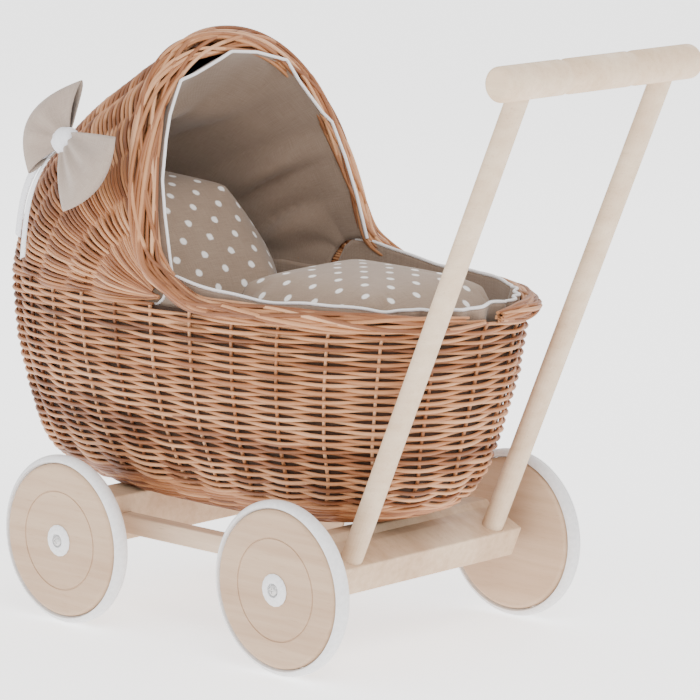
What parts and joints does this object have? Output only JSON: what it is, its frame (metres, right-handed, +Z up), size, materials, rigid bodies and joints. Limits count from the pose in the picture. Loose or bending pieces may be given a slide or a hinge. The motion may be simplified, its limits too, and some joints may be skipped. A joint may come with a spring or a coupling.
{
  "type": "doll stroller",
  "caption": "Wicker doll pram with a fixed hood, fabric lining, pillow and duvet, on a wooden chassis with rubber-tyred wheels and a push bar.",
  "frame": {"origin": "on the floor, under the middle of the stroller's overall box", "axes": "+X towards the push bar, +Y to the right of someone who pushes it and faces -X, +Z up"},
  "size_m": [0.7176, 0.3372, 0.5607],
  "materials": {
    "willow": "peeled and steamed willow rods, warm orange-brown, slightly glossy",
    "beech": "pale fine-grained wood, sanded, thin matt varnish",
    "birch_ply": "pale plywood face, sanded and matt varnished",
    "tyre_rubber": "plain white rubber, matt",
    "hub_plastic": "white moulded plastic",
    "steel": "zinc-plated steel screw",
    "linen_lining": "plain woven taupe cotton",
    "white_piping": "white cotton cord edging",
    "dotted_cotton": "taupe cotton printed with off-white dots",
    "ticking": "undyed cotton mattress cover",
    "bow_linen": "light taupe cotton",
    "white_ribbon": "white woven ribbon"
  },
  "bodies": {
    "stroller": {"axle_screw_front_left": "steel", "axle_screw_front_right": "steel", "axle_screw_rear_left": "steel", "axle_screw_rear_right": "steel", "axle_spacer_front_left": "hub_plastic", "axle_spacer_front_right": "hub_plastic", "axle_spacer_rear_left": "hub_plastic", "axle_spacer_rear_right": "hub_plastic", "basket_lining": "linen_lining", "basket_piping": "white_piping", "basket_screw_front_left": "steel", "basket_screw_front_right": "steel", "basket_screw_rear_left": "steel", "basket_screw_rear_right": "steel", "bow_knot": "white_ribbon", "bow_loop_lower": "bow_linen", "bow_loop_upper": "bow_linen", "duvet": "dotted_cotton", "front_beam": "beech", "handle_bar": "beech", "handle_post_left": "beech", "handle_post_right": "beech", "hood_border": "willow", "hood_lining": "linen_lining", "hood_piping": "white_piping", "mattress": "ticking", "pillow": "dotted_cotton", "rail_left": "beech", "rail_right": "beech", "rear_beam": "beech", "ribbon_tail_1": "white_ribbon", "ribbon_tail_2": "white_ribbon", "rim_border": "willow", "wicker_base": "willow", "wicker_body": "willow", "wicker_hood": "willow"},
    "front_left_wheel": {"wheel_disc_front_left": "birch_ply", "tyre_front_left": "tyre_rubber", "hub_bush_front_left": "hub_plastic"},
    "front_right_wheel": {"wheel_disc_front_right": "birch_ply", "tyre_front_right": "tyre_rubber", "hub_bush_front_right": "hub_plastic"},
    "rear_left_wheel": {"wheel_disc_rear_left": "birch_ply", "tyre_rear_left": "tyre_rubber", "hub_bush_rear_left": "hub_plastic"},
    "rear_right_wheel": {"wheel_disc_rear_right": "birch_ply", "tyre_rear_right": "tyre_rubber", "hub_bush_rear_right": "hub_plastic"}
  },
  "joints": [
    {"name": "front_left_spin", "type": "hinge", "parent": "stroller", "child": "front_left_wheel", "pos_m": [-0.16757, -0.1556, 0.08], "axis": [0, 1, 0], "continuous": true},
    {"name": "front_right_spin", "type": "hinge", "parent": "stroller", "child": "front_right_wheel", "pos_m": [-0.16757, 0.1556, 0.08], "axis": [0, 1, 0], "continuous": true},
    {"name": "rear_left_spin", "type": "hinge", "parent": "stroller", "child": "rear_left_wheel", "pos_m": [0.11593, -0.1556, 0.08], "axis": [0, 1, 0], "continuous": true},
    {"name": "rear_right_spin", "type": "hinge", "parent": "stroller", "child": "rear_right_wheel", "pos_m": [0.11593, 0.1556, 0.08], "axis": [0, 1, 0], "continuous": true}
  ]
}
